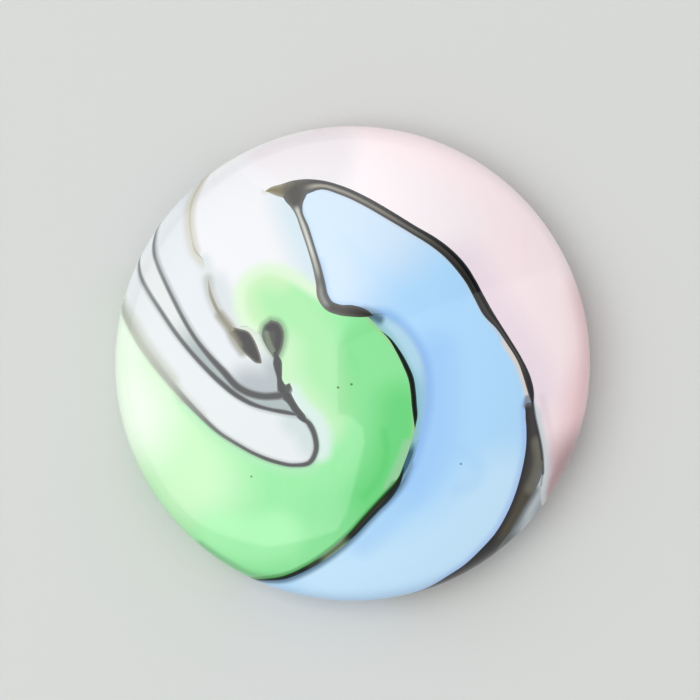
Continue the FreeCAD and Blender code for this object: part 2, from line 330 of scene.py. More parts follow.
def polish(tree, shader, colour, haze):
    """Gives a glass its colour and its fire-polished gloss."""
    gloss = new_node(tree, "Group", {"Waver": GLASS_WAVER, "Haze": haze}, node_tree=FIRE_POLISH)
    tree.links.new(colour, shader.inputs["Base Color"])
    tree.links.new(gloss["Roughness"], shader.inputs["Roughness"])
    tree.links.new(gloss["Normal"], shader.inputs["Normal"])
    shader.inputs["IOR"].default_value = GLASS_IOR


def opal_glass(name, colour, pale, deep, washes=(), streaks=0.35, haze=0.09):
    """Opaque soft glass: streaked rod colour, with washes melted into it one after another. A wash
    is a row: a mark on the mesh, where the wash is full and where it ends, in millimetres from
    the mark's line, its colour, its strength and the line. Colours are as tone() takes them."""
    material, tree, shader = new_material(name)
    laid = new_node(tree, "Group", {
        "Colour": tone(*colour), "Pale": tone(*pale), "Deep": tone(*deep), "Amount": streaks,
    }, node_tree=ROD_STREAKS)["Colour"]
    for mark, near, far, wash, strength, *line in washes:
        laid = new_node(tree, "Group", {
            "Colour": laid, "Wash": tone(*wash), "Distance": read_mark(tree, mark),
            "Near": near, "Far": far, "Strength": strength,
        }, node_tree=MELTED_WASH)["Colour"]
    polish(tree, shader, laid, haze)
    return material


core = bpy.data.objects["core_gather"]
core.data.materials.clear()
core.data.materials.append(opal_glass(
    "opal_white_core", (238, 238, 233), (248, 248, 246), (222, 222, 214), streaks=0.6, haze=0.34))

# --- Pink field --------------------------------------------------------------------------
# A pale pink band, laid round the top and the right of the disc and drawn over the rim. It is
# nearly white where it was thinned out at the top. Along the right rim it is painted deeper,
# partly its own deeper pink and partly painted shade. At its tail, low on the right, the dark
# pink is painted shadow.

FIELD_DEPTH = 1.15 * MM      # how deep a field of colour goes


def back_arc(start, end):
    """The inner edge of the colours on the flat back: an arc between two compass angles, in
    degrees, on the unrolled skin."""
    angle = np.radians(np.linspace(start, end, LINE_POINTS))
    return np.column_stack([np.cos(angle), np.sin(angle)]) * (BACK_REACH + BACK_LAP)


def marks_of(flat, washes):
    """How far each point of a grid is from the line of each wash. A second wash from the same mark
    brings no line."""
    return {mark: distance_to(flat, line[0])
            for mark, near, far, colour, strength, *line in washes if line}


def field(name, node, runs, lap, across, washes, glass, depth=FIELD_DEPTH, tuck=(0.0, 0.0)):
    """A field of colour between two lines, made run by run. A run is a part of the inner line, the
    part of the outer line across from it, and how many cross lines they share. Cross lines are
    straight on the unrolled skin. A tuck is a shift, in millimetres, that carries the inner line
    in under its neighbour. Glass holds the material's name and its own colours."""
    inner = np.concatenate([joined(one, count=shared) for one, other, shared in runs])
    inner = inner + np.array(tuck) * MM
    outer = np.concatenate([joined(other, count=shared) for one, other, shared in runs])
    step = np.linspace(0, 1, across)[None, :, None]
    flat = inner[:, None, :2] * (1 - step) + outer[:, None, :2] * step
    piece = fused_piece(name, skin(flat, lap), skin(flat, depth), marks_of(flat, washes))
    seal(piece, node, opal_glass(washes=washes, **glass))


CREST_PATH = [
    (-0.365, 0.718, 0), (-0.34, 0.7215, 0.38), (-0.30, 0.7205, 0.76), (-0.25, 0.7235, 1.08),
    (-0.20, 0.7355, 0.94), (-0.13, 0.743, 0.55), (-0.05, 0.721, 0.525), (0.05, 0.675, 0.525),
    (0.15, 0.617, 0.525), (0.25, 0.556, 0.5), (0.34, 0.501, 0.55), (0.39, 0.462, 0.575),
    (0.455, 0.392, 0.6), (0.49, 0.34, 0.55), (0.522, 0.28, 0.55), (0.561, 0.21, 0.55),
    (0.604, 0.155, 0.35), (0.648, 0.09, 0.3), (0.697, 0.01, 0.3), (0.726, -0.06, 0.4),
    (0.742, -0.12, 0.35), (0.752, -0.18, 0),
]
BAND_OUTER = [
    (0.75, -0.16), (0.757, -0.215), (0.772, -0.28), (0.786, -0.345), (0.793, -0.40),
    (0.788, -0.47), (0.762, -0.53), (0.715, -0.61), (0.67, -0.69), (0.62, -0.76), (0.58, -0.86),
    (0.643, -1.147),
]
WEDGE_SEAM = [
    (0.793, -0.40), (0.795, -0.46), (0.789, -0.51), (0.788, -0.56), (0.80, -0.62), (0.84, -0.70),
    (0.935, -0.924),
]
CROWN_SEAM = [(-0.365, 0.718), (-0.41, 0.75), (-0.47, 0.80), (-0.52, 0.87), (-0.64, 1.149)]

crest_line = drawn(CREST_PATH)
band_outer = drawn(BAND_OUTER)
wedge_seam = drawn(WEDGE_SEAM)
crown_seam = drawn(CROWN_SEAM)
crest_side = joined(stretch(crest_line, (-0.365, 0.718), (0.742, -0.12)),
                    stretch(band_outer, (0.757, -0.215), (0.793, -0.40)))
thread_foot = stretch(wedge_seam, (0.793, -0.40), (0.795, -0.46))
# painted light: pink and white are painted paler along the top rim, standing in for the brighter
# reflection there
TOP_RIM_PAINTED_LIGHT = ("top_rim_painted_light", 0.2, 1.3, (250, 248, 250), 0.9,
                 drawn([(-0.66, 0.75), (-0.54, 0.84), (-0.38, 0.925), (-0.2, 0.98)]))
THREAD_END = ("thread_end", 0.0, 0.12, (110, 118, 126), 0.6,
              stretch(wedge_seam, (0.793, -0.40), (0.789, -0.51)))
under_crown = crown_seam[::-1] - np.array([0.25, 0.10]) * MM
field("pink_glass", "pink_field", [
    (under_crown, back_arc(121, 116), 60),
    (stretch(crest_side, (-0.365, 0.718), (0.05, 0.675)), back_arc(116, 92), 100),
    (stretch(crest_side, (0.05, 0.675), (0.561, 0.21)), back_arc(92, 40), 130),
    (stretch(crest_side, (0.561, 0.21), (0.742, -0.12)), back_arc(40, 0), 110),
    (stretch(crest_side, (0.742, -0.12), (0.793, -0.40)), back_arc(0, -28), 80),
    (wedge_seam, back_arc(-28, -44.7), 80),
], 2 * LAP, 90, washes=[
    ("thinned", 0.5, 4.3, (247, 238, 242), 1.0,
     drawn([(-0.5, 0.76), (-0.3, 0.79), (-0.1, 0.79), (0.05, 0.73), (0.2, 0.66), (0.35, 0.56)])),
    ("thinned_left", 0.4, 2.4, (229, 227, 231), 0.95, drawn([(-0.5, 0.78), (-0.3, 0.8), (-0.12, 0.8)])),
    ("palest", 0.5, 2.4, (231, 224, 229), 0.9, drawn([(-0.35, 0.9), (-0.2, 0.91), (-0.1, 0.9)])),
    ("seam", 0.1, 1.4, (232, 232, 236), 1.0, crown_seam),
    TOP_RIM_PAINTED_LIGHT,
    # partly the rim's deeper pink, partly painted shade where the light falls off round the right rim
    ("rim", 0.5, 2.9, (238, 200, 204), 0.95,
     drawn([(0.99, 0.25), (1.0, 0.05), (0.98, -0.15), (0.93, -0.36)])),
    # painted shadow: the tail of the pink, low on the right, is painted darker where shadow falls
    ("tail", 0.4, 2.95, (172, 142, 146), 0.95,
     drawn([(0.97, -0.38), (0.89, -0.44), (0.84, -0.54), (0.80, -0.66)])),
    ("crest", 0.2, 2.6, (236, 220, 232), 0.85, stretch(crest_side, (0.455, 0.392), (0.742, -0.12))),
    ("fold", 0.0, 0.4, (214, 188, 194), 0.3,
     drawn([(0.79, -0.14), (0.82, -0.27), (0.838, -0.36), (0.828, -0.46)])),
    ("strip_head", 0.1, 0.3, (206, 216, 222), 0.85,
     stretch(crest_side, (0.726, -0.06), (0.757, -0.215))),
    ("strip", 0.12, 0.72, (203, 211, 216), 0.95,
     joined(stretch(crest_side, (0.757, -0.215), (0.793, -0.40)), share_of(wedge_seam, 0, 0.375))),
    THREAD_END,
    ("thread", 0.04, 0.14, (52, 62, 72), 0.85,
     joined(stretch(crest_side, (0.742, -0.12), (0.793, -0.40)), thread_foot)),
], glass=dict(name="pink_opal", colour=(254, 235, 239),
              pale=(254, 240, 243), deep=(246, 222, 228), streaks=0.25))

# --- Blue field --------------------------------------------------------------------------
# Sky blue, from the fork under the crest right round to the bottom rim. Stretching made it paler
# at both ends, and it is deepest where the stroke turned beside the green.

FORK_PATH = [
    (-0.235, 0.742, 0.1), (-0.24, 0.716, 1.35), (-0.2385, 0.687, 1.15), (-0.233, 0.66, 0.72),
    (-0.226, 0.635, 0.48), (-0.198, 0.56, 0.45), (-0.172, 0.48, 0.425), (-0.148, 0.40, 0.45),
    (-0.132, 0.33, 0.5), (-0.122, 0.275, 0.575), (-0.098, 0.24, 0.55), (-0.055, 0.222, 0.55),
    (0.0, 0.217, 0.6), (0.05, 0.208, 0.42), (0.068, 0.203, 0.26), (0.084, 0.197, 0),
]
HALO_EDGE = [
    (0.07, 0.205), (0.135, 0.20), (0.205, 0.153), (0.257, 0.09), (0.29, 0.02), (0.307, -0.07),
    (0.308, -0.155), (0.291, -0.25), (0.268, -0.34), (0.235, -0.435), (0.185, -0.515),
    (0.12, -0.585),
]
GREEN_SIDE = [
    (0.05, 0.208), (0.10, 0.155), (0.15, 0.105), (0.185, 0.055), (0.215, 0.0), (0.24, -0.06),
    (0.25, -0.12), (0.254, -0.17), (0.258, -0.21), (0.256, -0.27), (0.238, -0.34), (0.209, -0.42),
    (0.18, -0.49), (0.143, -0.543), (0.10, -0.595),
]
FOOT_PATH = [
    (0.216, -0.42, 0), (0.187, -0.492, 0.3), (0.147, -0.545, 0.48), (0.10, -0.595, 0.45),
    (0.052, -0.647, 0.42), (0.0, -0.705, 0.38), (-0.08, -0.777, 0.36), (-0.18, -0.846, 0.3),
    (-0.28, -0.893, 0.25), (-0.37, -0.907, 0.2), (-0.46, -0.92, 0.175), (-0.619, -1.16, 0.15),
]
BAND_INNER = [
    (0.75, -0.16), (0.722, -0.166), (0.719, -0.21), (0.723, -0.27), (0.7225, -0.34), (0.715, -0.40),
    (0.7025, -0.46), (0.68, -0.54), (0.648, -0.62), (0.60, -0.705), (0.53, -0.785), (0.46, -0.85),
    (0.40, -0.89), (0.32, -0.94), (0.24, -0.985), (0.13, -1.308),
]

fork_line = drawn(FORK_PATH)
halo_edge = drawn(HALO_EDGE)
green_side = drawn(GREEN_SIDE)
foot_line = drawn(FOOT_PATH)
band_inner = drawn(BAND_INNER)
band_middle = drawn([
    (0.752, -0.18), (0.745, -0.24), (0.754, -0.32), (0.757, -0.40), (0.738, -0.50), (0.69, -0.60),
    (0.62, -0.71), (0.53, -0.82), (0.44, -0.92), (0.38, -1.259),
])
fork_end = drawn([(0.05, 0.208), (0.085, 0.196), (0.11, 0.183)])
blue_edge = joined(stretch(fork_line, (-0.2385, 0.687), (0.05, 0.208)), halo_edge,
                   count=2 * LINE_POINTS)
field("blue_glass", "blue_field", [
    (stretch(blue_edge, (-0.2385, 0.687), (-0.122, 0.275)),
     stretch(crest_line, (-0.20, 0.7355), (0.34, 0.501)), 110),
    (stretch(blue_edge, (-0.122, 0.275), (0.257, 0.09)),
     stretch(crest_line, (0.34, 0.501), (0.561, 0.21)), 120),
    (stretch(blue_edge, (0.257, 0.09), (0.291, -0.25)),
     stretch(crest_line, (0.561, 0.21), (0.752, -0.18)), 100),
    (stretch(blue_edge, (0.291, -0.25), (0.12, -0.585)),
     stretch(band_middle, (0.752, -0.18), (0.62, -0.71)), 110),
    (stretch(foot_line, (0.10, -0.595), (-0.18, -0.846)),
     stretch(band_middle, (0.62, -0.71), (0.38, -1.259)), 90),
    (stretch(foot_line, (-0.18, -0.846), (-0.619, -1.16)), back_arc(-73.2, -118), 90),
], 2 * LAP, 80, tuck=(-0.08, 0.02), washes=[
    ("upper_end", 0.6, 4.8, (202, 224, 245), 1.0,
     drawn([(-0.1, 0.36), (-0.16, 0.52), (-0.12, 0.64), (0.0, 0.62), (0.1, 0.57)])),
    ("lower_end", 0.6, 3.6, (195, 230, 254), 0.95,
     drawn([(0.64, -0.52), (0.5, -0.68), (0.27, -0.82), (-0.1, -0.9)])),
    ("turn", 0.1, 2.1, (157, 204, 251), 0.9,
     drawn([(0.34, 0.04), (0.35, -0.12), (0.335, -0.3), (0.28, -0.44), (0.24, -0.5)])),
    ("turn_low", 0.0, 1.3, (164, 208, 248), 0.6, drawn([(0.21, -0.57), (0.12, -0.68), (0.04, -0.75)])),
    ("swirl", 0.0, 0.7, (160, 206, 248), 0.25,
     drawn([(0.40, -0.34), (0.47, -0.37), (0.52, -0.43), (0.50, -0.50), (0.43, -0.52)])),
    ("halo", 0.02, 0.6, (134, 180, 236), 0.7, joined(share_of(fork_line, 0.5, 1), halo_edge)),
    ("band", 0.05, 0.5, (160, 190, 240), 0.7, band_inner),
    # painted shade: darker blue along the bottom rim, where the light falls off
    ("rim", 0.2, 1.6, (166, 202, 240), 0.8,
     drawn([(0.42, -0.91), (0.2, -0.98), (0.0, -1.0), (-0.25, -0.97)])),
    ("crest", 0.26, 0.45, (196, 206, 212), 0.6, crest_line),
    ("crest_foot", 0.3, 0.5, (222, 212, 206), 0.9, stretch(crest_line, (0.648, 0.09), (0.742, -0.12))),
    ("band_head", 0.08, 0.3, (110, 116, 128), 0.8, drawn([(0.728, -0.145), (0.722, -0.175)])),
    ("crest_end", 0.08, 0.2, (44, 48, 58), 0.9, drawn([(0.742, -0.12), (0.75, -0.16), (0.755, -0.2)])),
    ("fork", 0.22, 0.42, (176, 204, 224), 0.6, fork_line),
    ("fork_end", 0.05, 0.55, (84, 108, 130), 0.75, fork_end),
    ("foot", 0.28, 0.5, (176, 210, 236), 0.6, foot_line),
    ("foot", 0.17, 0.6, (58, 98, 124), 0.85),
    ("speck", 0.03, 0.09, (70, 90, 120), 0.9, lay([(0.448, -0.416), (0.449, -0.416)])),
], glass=dict(name="sky_blue_opal", colour=(173, 218, 254),
              pale=(186, 224, 254), deep=(162, 208, 252), streaks=0.25))

# --- Aqua halo ---------------------------------------------------------------------------
# A thread of clear aqua glass run along the green's right edge. It lies between green and blue
# as a narrow bright band that darkens where it thins out at the bottom.

field("aqua_glass", "aqua_halo", [(green_side, halo_edge, 400)], LAP, 14, washes=[
    ("lower", 0.6, 2.6, (140, 192, 216), 0.9, drawn([(0.288, -0.18), (0.28, -0.25), (0.26, -0.33)])),
    ("outer", 0.02, 0.3, (150, 186, 236), 0.7, halo_edge),
    ("green", 0.1, 0.45, (128, 184, 186), 0.6, green_side),
    ("low", 0.25, 1.1, (34, 84, 106), 0.95,
     drawn([(0.235, -0.39), (0.208, -0.45), (0.165, -0.53), (0.1, -0.6)])),
    ("thread", 0.03, 0.14, (132, 178, 206), 0.7,
     drawn([(0.27, -0.32), (0.243, -0.41), (0.2, -0.49), (0.14, -0.565)])),
    ("fork_end", 0.05, 0.42, (62, 94, 106), 0.85, fork_end),
], glass=dict(name="aqua_clear", colour=(172, 213, 232),
              pale=(190, 226, 240), deep=(146, 196, 216), streaks=0.25, haze=0.05))

# --- Green field -------------------------------------------------------------------------
# Mint green, the heart of the swirl. Its head was pushed in from the right, its long tail sweeps
# down and out over the left rim. Towards the left rim it is painted almost white, partly glass
# stretched thin and partly painted light for the lit left side and the screen's reflection.
# Along the bottom rim it is painted darker, as painted shade.

HOOK_PATH = [
    (-0.319, 0.05, 0.26), (-0.3145, 0.027, 0.3), (-0.3105, 0.006, 0.47), (-0.3085, -0.012, 0.45),
    (-0.3045, -0.04, 0.34), (-0.302, -0.063, 0.28), (-0.297, -0.086, 0.4), (-0.288, -0.107, 0.6),
    (-0.281, -0.12, 0.62), (-0.256, -0.155, 0.42), (-0.235, -0.188, 0.4), (-0.205, -0.225, 0.36),
    (-0.18, -0.252, 0),
]
LOOP_PATH = [
    (-1.20, 0.536, 0.35), (-0.985, 0.275, 0.375), (-0.94, 0.178, 0.425), (-0.885, 0.083, 0.425),
    (-0.827, 0.003, 0.4), (-0.764, -0.073, 0.375), (-0.702, -0.143, 0.325), (-0.634, -0.213, 0.275),
    (-0.555, -0.285, 0.225), (-0.478, -0.334, 0.2), (-0.40, -0.376, 0.21), (-0.32, -0.406, 0.23),
    (-0.24, -0.42, 0.225), (-0.178, -0.408, 0.275), (-0.152, -0.36, 0.3), (-0.156, -0.30, 0.31),
    (-0.178, -0.25, 0.31), (-0.215, -0.213, 0.12),
]
EYE_OUTLINE = [
    (-0.338, 0.18), (-0.306, 0.17), (-0.286, 0.137), (-0.285, 0.092), (-0.296, 0.052),
    (-0.309, 0.028), (-0.321, 0.02), (-0.334, 0.036), (-0.356, 0.07), (-0.374, 0.112),
    (-0.366, 0.156),
]
hook_line = drawn(HOOK_PATH)
eye_edge = drawn(EYE_OUTLINE + EYE_OUTLINE[:1])
loop_line = drawn(LOOP_PATH)
green_head = drawn([
    (-0.385, 0.125), (-0.43, 0.155), (-0.46, 0.22), (-0.465, 0.29), (-0.44, 0.345), (-0.38, 0.382),
    (-0.31, 0.383), (-0.24, 0.352), (-0.18, 0.312), (-0.122, 0.275),
])
field("green_glass", "green_field", [
    (drawn([(-0.385, 0.125), (-0.355, 0.09), (-0.33, 0.05)]), green_head, 130),
    (joined(drawn([(-0.33, 0.05), (-0.3085, -0.012)]),
            stretch(hook_line, (-0.3085, -0.012), (-0.235, -0.188)), loop_line[-1:]),
     joined(stretch(fork_line, (-0.122, 0.275), (0.05, 0.208)),
            stretch(green_side, (0.05, 0.208), (0.215, 0))), 130),
    (stretch(loop_line, (-0.215, -0.213), (-0.24, -0.42)),
     joined(stretch(green_side, (0.215, 0), (0.10, -0.595)),
            stretch(foot_line, (0.10, -0.595), (0, -0.705))), 150),
    (stretch(loop_line, (-0.24, -0.42), (-0.702, -0.143)),
     stretch(foot_line, (0, -0.705), (-0.619, -1.16)), 110),
    (stretch(loop_line, (-0.702, -0.143), (-1.20, 0.536)), back_arc(-118.1, -204.1), 130),
], 0.0, 76, washes=[
    ("deep", 0.2, 2.3, (100, 211, 120), 0.9,
     drawn([(0.2, -0.18), (0.18, -0.32), (0.13, -0.45), (0.04, -0.58)])),
    ("belly", 0.3, 1.8, (124, 218, 142), 0.6, drawn([(-0.04, -0.64), (-0.09, -0.61), (-0.13, -0.59)])),
    ("ribbon", 0.0, 0.4, (86, 204, 108), 0.5,
     drawn([(0.13, -0.28), (0.14, -0.38), (0.11, -0.47), (0.05, -0.55)])),
    ("upper", 0.7, 2.1, (163, 227, 163), 0.8,
     drawn([(-0.36, 0.28), (-0.24, 0.2), (-0.17, 0.08), (-0.14, -0.05), (-0.12, -0.2)])),
    # left_flank, low_left and left_rim: paler green towards the left, partly the tail's thinned glass and
    # partly painted light standing in for the lamp and the screen's reflection
    ("left_flank", 1.2, 5.2, (194, 239, 188), 0.95,
     drawn([(-0.86, -0.1), (-0.77, -0.32), (-0.70, -0.46)])),
    ("low_left", 0.6, 2.2, (166, 244, 176), 0.7, drawn([(-0.55, -0.72), (-0.42, -0.74), (-0.32, -0.72)])),
    ("left_rim", 0.7, 5.0, (233, 250, 230), 0.97, drawn([(-0.97, 0.2), (-1.0, -0.02), (-0.96, -0.2)])),
    ("hook", 0.1, 1.8, (192, 231, 186), 0.9,
     drawn([(-0.29, 0.05), (-0.285, -0.04), (-0.25, -0.12), (-0.19, -0.2), (-0.14, -0.27)])),
    ("loop", 0.1, 0.9, (166, 220, 176), 0.6, stretch(loop_line, (-0.702, -0.143), (-0.215, -0.213))),
    ("loop_tip", 0.2, 0.9, (206, 226, 222), 0.95,
     drawn([(-0.255, -0.13), (-0.22, -0.185), (-0.165, -0.235), (-0.135, -0.30), (-0.135, -0.36)])),
    ("head_left", 0.3, 1.7, (192, 229, 178), 0.9, stretch(green_head, (-0.43, 0.155), (-0.31, 0.383))),
    ("head", 0.0, 0.55, (208, 234, 200), 1.0, green_head),
    # painted shade: darker green along the bottom rim, where the light falls off
    ("bottom_rim_painted_shade", 0.1, 0.7, (108, 186, 124), 0.8,
     drawn([(-0.27, -0.905), (-0.42, -0.89), (-0.55, -0.82), (-0.63, -0.765)])),
    ("side", 0.12, 0.24, (164, 196, 146), 0.5, green_side),
    ("margin", 0.1, 0.42, (156, 204, 164), 0.6,
     drawn([(0.225, -0.33), (0.195, -0.41), (0.165, -0.48), (0.15, -0.51)])),
    ("foot", 0.2, 0.4, (40, 120, 46), 0.6, share_of(foot_line, 0.075, 1)),
    ("loop_left", 0.05, 0.48, (184, 192, 176), 0.85,
     stretch(loop_line, (-0.702, -0.143), (-1.20, 0.536))),
    ("loop", 0.1, 0.28, (120, 150, 128), 0.5),
    ("eye", 0.0, 0.36, (104, 140, 102), 0.75, eye_edge),
    ("specks", 0.03, 0.1, (40, 70, 40), 0.9, lay([(-0.06, -0.098), (-0.005, -0.085), (-0.42, -0.468)])),
], glass=dict(name="mint_green_opal", colour=(136, 226, 150),
              pale=(160, 236, 170), deep=(112, 214, 132), streaks=0.3))

# --- White crown -------------------------------------------------------------------------
# Opal white at the top left, the palest glass on the disc. It takes a blue cast beside the fork
# and a green one round the head of the green.

UPPER_VEIL_PATH = [
    (-0.715, 1.105, 0.35), (-0.60, 0.80, 0.35), (-0.645, 0.74, 0.33), (-0.675, 0.67, 0.3),
    (-0.68, 0.60, 0.25), (-0.672, 0.53, 0.2), (-0.655, 0.47, 0.175), (-0.62, 0.43, 0),
]
LOWER_VEIL_PATH = [
    (-0.60, 0.35, 0), (-0.59, 0.29, 0.175), (-0.565, 0.23, 0.2), (-0.53, 0.175, 0.225),
    (-0.495, 0.135, 0.25),
]
upper_veil = drawn(UPPER_VEIL_PATH)
lower_veil = drawn(LOWER_VEIL_PATH)
veil_side = joined(
    drawn([(-0.385, 0.125), (-0.44, 0.155), (-0.50, 0.15), (-0.53, 0.175)]),
    stretch(lower_veil, (-0.53, 0.175), (-0.60, 0.35)),
    stretch(upper_veil, (-0.62, 0.43), (-0.715, 1.105)), count=3 * LINE_POINTS // 2)
VEIL_CORNER = [
    ("low_left", 0.1, 1.1, (196, 206, 210), 0.7,
     drawn([(-0.47, 0.19), (-0.52, 0.25), (-0.565, 0.33)])),
    ("seam", 0.05, 0.7, (208, 216, 217), 0.95,
     drawn([(-0.62, 0.43), (-0.605, 0.39), (-0.60, 0.35)])),
]
VEIL_SMOKE = [
    ("low_veil", 0.05, 0.5, (170, 170, 160), 0.7, lower_veil),
    ("smoke", 0.06, 0.45, (134, 132, 112), 0.8,
     drawn([(-0.55, 0.20), (-0.515, 0.155), (-0.49, 0.10), (-0.455, 0.05)])),
]
under_head = drawn([
    (-0.385, 0.125), (-0.425, 0.16), (-0.4535, 0.2215), (-0.458, 0.288), (-0.4345, 0.34),
    (-0.3775, 0.3754), (-0.311, 0.3764), (-0.2445, 0.3469), (-0.1875, 0.309), (-0.122, 0.275),
])
field("crown_glass", "white_crown", [
    (stretch(under_head, (-0.385, 0.125), (-0.4535, 0.2215)),
     stretch(veil_side, (-0.385, 0.125), (-0.565, 0.23)), 60),
    (stretch(under_head, (-0.4535, 0.2215), (-0.4345, 0.34)),
     stretch(veil_side, (-0.565, 0.23), (-0.655, 0.47)), 60),
    (stretch(under_head, (-0.4345, 0.34), (-0.3775, 0.3754)),
     joined(stretch(veil_side, (-0.655, 0.47), (-0.715, 1.105)), crown_seam[::-1]), 150),
    (stretch(under_head, (-0.3775, 0.3754), (-0.2445, 0.3469)),
     joined(stretch(crest_line, (-0.365, 0.718), (-0.25, 0.7235)), lay([(-0.2385, 0.687)])), 60),
    (stretch(under_head, (-0.2445, 0.3469), (-0.122, 0.275)),
     stretch(fork_line, (-0.2385, 0.687), (-0.122, 0.275)), 80),
], LAP, 70, washes=[
    TOP_RIM_PAINTED_LIGHT,
    *VEIL_CORNER,
    ("fork", 0.3, 2.2, (200, 219, 228), 0.95, share_of(fork_line, 0, 0.7)),
    ("head", 0.0, 0.75, (208, 234, 200), 1.0, green_head),
    ("veil", 0.12, 0.5, (198, 197, 184), 0.8, joined(share_of(upper_veil, 0, 0.925))),
    *VEIL_SMOKE,
    ("crest", 0.1, 0.32, (206, 204, 190), 0.5, share_of(crest_line, 0, 0.2)),
], glass=dict(name="crown_opal", colour=(229, 230, 234),
              pale=(233, 234, 237), deep=(222, 225, 231), streaks=0.3))

# --- White tongues and sliver ------------------------------------------------------------
# Three licks of white at the left, drawn in from the rim by the rake between the dark trails.
# The inner one is shaded blue-grey in its corner, where it is thin over the trails' glass.

LOWER_TWIN_PATH = [
    (-1.084, 0.744, 0.25), (-0.897, 0.42, 0.25), (-0.885, 0.36, 0.25), (-0.85, 0.295, 0.25),
    (-0.80, 0.22, 0.25), (-0.743, 0.137, 0.26), (-0.682, 0.061, 0.28), (-0.617, -0.01, 0.3),
    (-0.546, -0.078, 0.33), (-0.478, -0.132, 0.32), (-0.411, -0.168, 0.27), (-0.345, -0.188, 0.22),
    (-0.28, -0.20, 0.26), (-0.215, -0.213, 0.12),
]
UPPER_TWIN_PATH = [
    (-0.93, 0.93, 0.25), (-0.828, 0.54, 0.25), (-0.832, 0.47, 0.25), (-0.812, 0.405, 0.25),
    (-0.78, 0.335, 0.24), (-0.74, 0.255, 0.25), (-0.70, 0.18, 0.25), (-0.65, 0.10, 0.27),
    (-0.593, 0.029, 0.34), (-0.536, -0.032, 0.41), (-0.47, -0.10, 0.45), (-0.40, -0.13, 0.45),
    (-0.34, -0.135, 0.45), (-0.281, -0.12, 0.52), (-0.268, -0.10, 0.56), (-0.2595, -0.08, 0),
]
lower_twin = drawn(LOWER_TWIN_PATH)
upper_twin = drawn(UPPER_TWIN_PATH)
# painted light: the whites are painted paler towards the left rim, standing in for the light the turning
# rim would catch
LEFT_RIM_PAINTED_LIGHT = ("rim", 0.3, 1.8, (240, 247, 252), 0.85,
                  drawn([(-0.98, 0.2), (-0.95, 0.32), (-0.9, 0.44), (-0.84, 0.55), (-0.77, 0.64)]))
field("outer_tongue_glass", "outer_white_tongue", [
    (lower_twin[::-1], loop_line[::-1], 400),
], LAP, 40, washes=[
    ("tip", 0.2, 1.2, (194, 209, 209), 0.9, drawn([(-0.17, -0.33), (-0.2, -0.27), (-0.24, -0.24)])),
    LEFT_RIM_PAINTED_LIGHT,
    ("loop_low", 0.1, 0.6, (188, 194, 184), 0.55, stretch(loop_line, (-0.634, -0.213), (-0.827, 0.003))),
    ("loop_left", 0.15, 0.9, (182, 187, 175), 0.8, stretch(loop_line, (-0.764, -0.073), (-1.20, 0.536))),
    ("loop", 0.08, 0.3, (140, 148, 146), 0.6, loop_line),
    ("twin", 0.1, 0.34, (150, 156, 158), 0.6, lower_twin),
], glass=dict(name="tongue_white", colour=(219, 224, 226), pale=(224, 228, 230), deep=(212, 217, 220)))
field("sliver_glass", "white_sliver", [
    (lower_twin[::-1], stretch(upper_twin, (-0.281, -0.12), (-0.93, 0.93)), 400),
], LAP, 16, washes=[
    ("corner", 0.4, 3.4, (152, 168, 168), 0.95,
     drawn([(-0.27, -0.17), (-0.4, -0.155), (-0.52, -0.09), (-0.6, 0.02)])),
    LEFT_RIM_PAINTED_LIGHT,
    ("twins", 0.1, 0.22, (140, 146, 148), 0.5, joined(lower_twin, upper_twin[::-1])),
], glass=dict(name="sliver_white", colour=(219, 222, 222), pale=(226, 230, 232), deep=(208, 210, 210)))
field("inner_tongue_glass", "inner_white_tongue", [
    (stretch(upper_twin, (-0.281, -0.12), (-0.47, -0.10)),
     joined(stretch(hook_line, (-0.281, -0.12), (-0.3085, -0.012)),
            drawn([(-0.33, 0.05), (-0.385, 0.125)])), 100),
    (stretch(upper_twin, (-0.47, -0.10), (-0.65, 0.10)),
     stretch(veil_side, (-0.385, 0.125), (-0.60, 0.35)), 110),
    (stretch(upper_twin, (-0.65, 0.10), (-0.832, 0.47)),
     stretch(veil_side, (-0.60, 0.35), (-0.68, 0.60)), 90),
    (stretch(upper_twin, (-0.832, 0.47), (-0.93, 0.93)),
     stretch(veil_side, (-0.68, 0.60), (-0.715, 1.105)), 110),
], LAP, 46, washes=[
    ("corner", 0.2, 1.9, (162, 172, 176), 0.95, drawn([(-0.30, -0.04), (-0.33, -0.09), (-0.43, -0.10)])),
    LEFT_RIM_PAINTED_LIGHT,
    *VEIL_CORNER,
    ("gap", 0.0, 0.8, (200, 216, 196), 0.9, drawn([(-0.43, 0.155), (-0.385, 0.125), (-0.35, 0.075)])),
    ("upper_veil", 0.12, 0.62, (198, 197, 184), 0.8, upper_veil),
    *VEIL_SMOKE,
    ("eye", 0.0, 0.2, (140, 156, 140), 0.6, eye_edge),
    ("twin", 0.12, 0.38, (140, 146, 150), 0.6, upper_twin),
], glass=dict(name="shaded_white", colour=(218, 223, 228), pale=(224, 228, 232), deep=(210, 216, 222)))

# --- Smoky wedge and band ----------------------------------------------------------------
# The broad end of the crest trail, where brown glass was left thick: dark along both edges and
# olive where light gets through. Outside it a wedge of smoky white runs out over the rim.

TRAIL_DEPTH = 0.45 * MM      # how deep a trail is sunk

